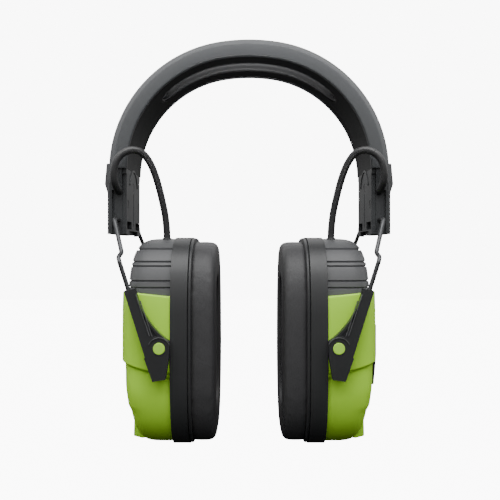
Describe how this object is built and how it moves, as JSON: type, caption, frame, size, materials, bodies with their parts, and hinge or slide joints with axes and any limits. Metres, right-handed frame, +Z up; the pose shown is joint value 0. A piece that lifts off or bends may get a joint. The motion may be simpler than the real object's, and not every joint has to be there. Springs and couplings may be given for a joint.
{
  "type": "earmuff hearing protector",
  "caption": "Over-head electronic earmuff with a sprung padded headband, folding wire yokes and tilting oval cups.",
  "frame": {"origin": "middle of the headband pad's underside at the crown, where the band rests on the head", "axes": "+X from the wearer's left cup to the right cup, +Y from front to back, +Z up"},
  "size_m": [0.15, 0.0876, 0.2103],
  "materials": {
    "band": "fine satin grain, dark grey",
    "band_pad": "matt, nearly black",
    "spring_steel": "plain rolled strip",
    "sleeve": "smooth satin black",
    "cap": "fine satin grain, dark grey",
    "screw": "zinc plated",
    "dark_screw": "blackened screw",
    "wire": "dark satin spring wire",
    "arm": "fine satin grain, near black",
    "pin": "satin yellow green",
    "shell": "satin yellow green, fine grain",
    "dome": "satin mid grey, fine grain",
    "rim": "satin black",
    "plate": "satin black",
    "cushion": "smooth satin vinyl skin over foam",
    "foam": "open cell foam",
    "speaker": "moulded basket with a fine grille",
    "hood": "satin yellow green, fine grain",
    "microphone": "satin can",
    "cell": "gloss wrapped can",
    "tray": "satin black",
    "contact": "nickel plated spring contact",
    "board": "green lacquer",
    "keypad": "matt black",
    "jack": "black"
  },
  "bodies": {
    "headband": {"headband_cover": "band", "headband_spring": "spring_steel", "headband_pad": "band_pad", "headband_lead": "sleeve", "end_cap_outer_left": "cap", "end_cap_outer_right": "cap", "end_cap_inner_left": "cap", "end_cap_inner_right": "cap", "end_cap_screws_left": "dark_screw", "end_cap_screws_right": "dark_screw", "link_cable_left": "sleeve", "link_cable_right": "sleeve"},
    "yoke_left": {"yoke_wire_left": "wire"},
    "arms_left": {"yoke_arm_front_left": "arm", "yoke_arm_rear_left": "arm"},
    "cup_left": {"pivot_pins_left": "pin", "cable_grommet_left": "sleeve", "cup_shell_left": "shell", "cup_dome_left": "dome", "cup_rim_left": "rim", "cushion_plate_left": "plate", "ear_cushion_left": "cushion", "acoustic_foam_left": "foam", "speaker_left": "speaker", "cup_screws_left": "screw", "microphone_hood_left": "hood", "microphone_left": "microphone", "battery_cells": "cell", "battery_tray": "tray", "battery_contacts": "contact", "battery_door_pin": "screw"},
    "yoke_right": {"yoke_wire_right": "wire"},
    "arms_right": {"yoke_arm_front_right": "arm", "yoke_arm_rear_right": "arm"},
    "cup_right": {"pivot_pins_right": "pin", "cable_grommet_right": "sleeve", "cup_shell_right": "shell", "cup_dome_right": "dome", "cup_rim_right": "rim", "cushion_plate_right": "plate", "ear_cushion_right": "cushion", "acoustic_foam_right": "foam", "speaker_right": "speaker", "cup_screws_right": "screw", "microphone_hood_right": "hood", "microphone_right": "microphone", "circuit_board": "board", "control_pad": "keypad", "audio_jack": "jack"},
    "battery_door": {"battery_door": "shell"},
    "button_up": {"button_up": "keypad"},
    "button_power": {"button_power": "keypad"},
    "button_down": {"button_down": "keypad"}
  },
  "joints": [
    {"name": "swivel_left", "type": "hinge", "parent": "headband", "child": "yoke_left", "pos_m": [-0.0673, 0, -0.0843], "axis": [0, -1, 0], "range_deg": [-30, 4], "deforming": ["link_cable_left"]},
    {"name": "slide_left", "type": "slide", "parent": "yoke_left", "child": "arms_left", "axis": [-0.3007, 0, 0.9537], "range_m": [-0.022, 0.008], "deforming": ["link_cable_left"]},
    {"name": "tilt_left", "type": "hinge", "parent": "arms_left", "child": "cup_left", "pos_m": [-0.043, 0, -0.147], "axis": [0, 1, 0], "range_deg": [-6, 6], "deforming": ["link_cable_left"]},
    {"name": "swivel_right", "type": "hinge", "parent": "headband", "child": "yoke_right", "pos_m": [0.0673, 0, -0.0843], "axis": [0, 1, 0], "range_deg": [-30, 4], "deforming": ["link_cable_right"]},
    {"name": "slide_right", "type": "slide", "parent": "yoke_right", "child": "arms_right", "axis": [0.3007, 0, 0.9537], "range_m": [-0.022, 0.008], "deforming": ["link_cable_right"]},
    {"name": "tilt_right", "type": "hinge", "parent": "arms_right", "child": "cup_right", "pos_m": [0.043, 0, -0.147], "axis": [0, -1, 0], "range_deg": [-6, 6], "deforming": ["link_cable_right"]},
    {"name": "battery_door_hinge", "type": "hinge", "parent": "cup_left", "child": "battery_door", "pos_m": [-0.061, 0, -0.1768], "axis": [0, -1, 0], "range_deg": [0, 95]},
    {"name": "press_up", "type": "slide", "parent": "cup_right", "child": "button_up", "axis": [-1, 0, 0], "range_m": [0, 0.0006], "stiffness_N_per_m": 400},
    {"name": "press_power", "type": "slide", "parent": "cup_right", "child": "button_power", "axis": [-1, 0, 0], "range_m": [0, 0.0006], "stiffness_N_per_m": 400},
    {"name": "press_down", "type": "slide", "parent": "cup_right", "child": "button_down", "axis": [-1, 0, 0], "range_m": [0, 0.0006], "stiffness_N_per_m": 400}
  ]
}
